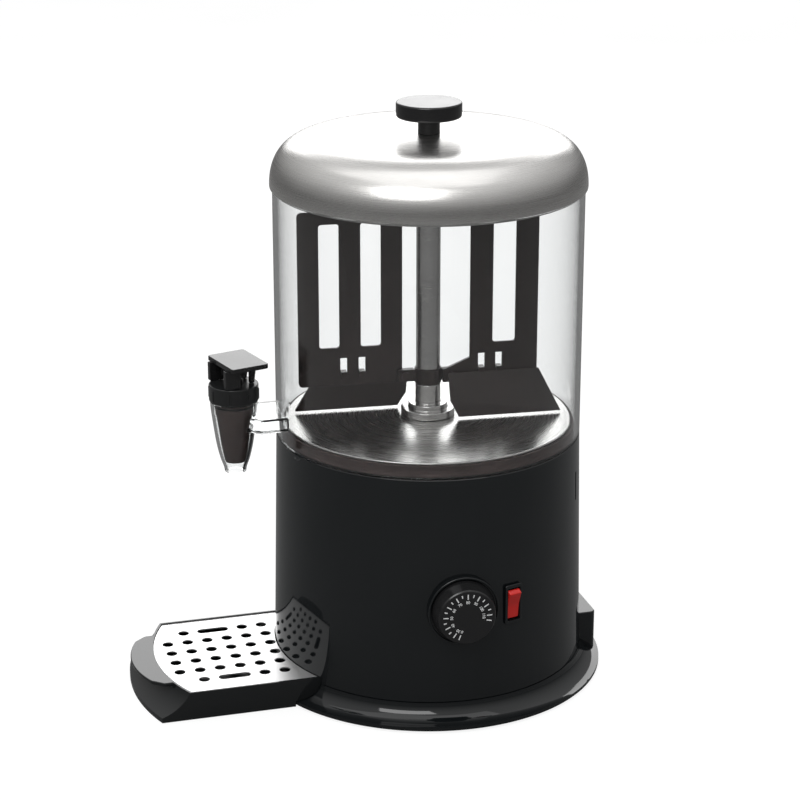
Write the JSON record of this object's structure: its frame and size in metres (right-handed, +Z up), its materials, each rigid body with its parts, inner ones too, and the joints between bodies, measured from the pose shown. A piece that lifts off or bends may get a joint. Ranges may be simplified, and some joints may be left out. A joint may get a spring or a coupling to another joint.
{
  "type": "hot chocolate dispenser machine",
  "caption": "Countertop hot chocolate dispenser: heated round base, clear bowl with a lever tap, slotted agitator, steel lid, dial, rocker switch and a drip tray with a perforated grid",
  "frame": {"origin": "on the floor, under the middle of the machine's bounding box", "axes": "+Z up, -Y towards the tap and the drip tray, +X towards the dial and the switch"},
  "size_m": [0.281, 0.3838, 0.461],
  "materials": {
    "gloss_black": "glossy",
    "satin_black": "satin",
    "dark_brown": "satin",
    "mauve_rubber": "matt",
    "steel": "brushed",
    "dull_steel": "plain zinc",
    "brass": "plain",
    "rubber": "matt",
    "red": "glossy",
    "cream": "matt",
    "clear": "clear"
  },
  "bodies": {
    "base": {"base_skirt": "gloss_black", "bottom_cover": "dull_steel", "foot_front_left": "rubber", "foot_front_right": "rubber", "foot_rear_left": "rubber", "foot_rear_right": "rubber", "cord_gland": "satin_black", "housing_shell": "gloss_black", "deck_ring": "satin_black", "heating_pan": "steel", "pan_seal": "mauve_rubber", "heater_ring": "dull_steel", "overheat_cutout": "cream", "sensor_capillary": "brass", "pan_riser": "steel", "pan_nut": "brass", "bush_upper": "brass", "bush_lower": "brass", "shaft_seal": "rubber", "motor_bracket": "dull_steel", "bracket_screw_left": "dull_steel", "bracket_screw_right": "dull_steel", "motor_gearbox": "dull_steel", "motor_can": "dull_steel", "terminal_block": "cream", "thermostat_body": "cream", "dial_bezel": "gloss_black", "rocker_frame": "gloss_black"},
    "bowl": {"bowl_wall": "clear", "tap_body": "clear", "tap_collar": "gloss_black", "tap_spring": "steel"},
    "piston": {"tap_plug": "mauve_rubber", "plug_ring": "rubber", "tap_stem": "satin_black", "lever_pin": "steel"},
    "lever": {"tap_lever": "gloss_black"},
    "lid": {"lid_dome": "steel", "lid_knob": "gloss_black", "knob_screw": "dull_steel"},
    "agitator": {"motor_shaft": "steel", "shaft_coupling": "dull_steel", "drive_shaft": "steel", "agitator_hub": "dark_brown", "agitator_tube": "steel", "tube_cap": "dark_brown", "rivet_narrow": "dark_brown", "rivet_wide": "dark_brown", "paddle_narrow": "dark_brown", "paddle_wide": "dark_brown", "scraper_narrow": "dark_brown", "scraper_wide": "dark_brown"},
    "tray": {"drip_tray": "gloss_black"},
    "grid": {"drip_grid": "steel"},
    "dial": {"dial_knob": "satin_black", "dial_spindle": "dull_steel"},
    "rocker": {"rocker_key": "red"}
  },
  "joints": [
    {"name": "bowl_lift", "type": "slide", "parent": "base", "child": "bowl", "axis": [0, 0, 1], "range_m": [0, 0.2]},
    {"name": "lid_lift", "type": "slide", "parent": "bowl", "child": "lid", "axis": [0, 0, 1], "range_m": [0, 0.1]},
    {"name": "agitator_spin", "type": "hinge", "parent": "base", "child": "agitator", "pos_m": [0, 0.05145, 0.2435], "axis": [0, 0, 1], "continuous": true},
    {"name": "piston_lift", "type": "slide", "parent": "bowl", "child": "piston", "axis": [0, 0, 1], "range_m": [0, 0.0049], "stiffness_N_per_m": 150, "springref_m": -0.01, "deforming": ["tap_spring"]},
    {"name": "lever_tilt", "type": "hinge", "parent": "piston", "child": "lever", "pos_m": [0, -0.10455, 0.259], "axis": [-0.9659, -0.2588, 0], "range_deg": [0, 20]},
    {"name": "dial_turn", "type": "hinge", "parent": "base", "child": "dial", "pos_m": [0.13, 0.0435, 0.0944], "axis": [0.9981, -0.061, 0], "range_deg": [-130, 130]},
    {"name": "rocker_tip", "type": "hinge", "parent": "base", "child": "rocker", "pos_m": [0.11397, 0.08391, 0.093], "axis": [0.274, -0.9617, 0], "range_deg": [0, 22]},
    {"name": "tray_slide", "type": "slide", "parent": "base", "child": "tray", "axis": [0, -1, 0], "range_m": [0, 0.15]},
    {"name": "grid_lift", "type": "slide", "parent": "tray", "child": "grid", "axis": [0, 0, 1], "range_m": [0, 0.04]}
  ],
  "couplings": [
    {"joint": "lever_tilt", "follows": "piston_lift", "rad_per_m": 71.2}
  ]
}
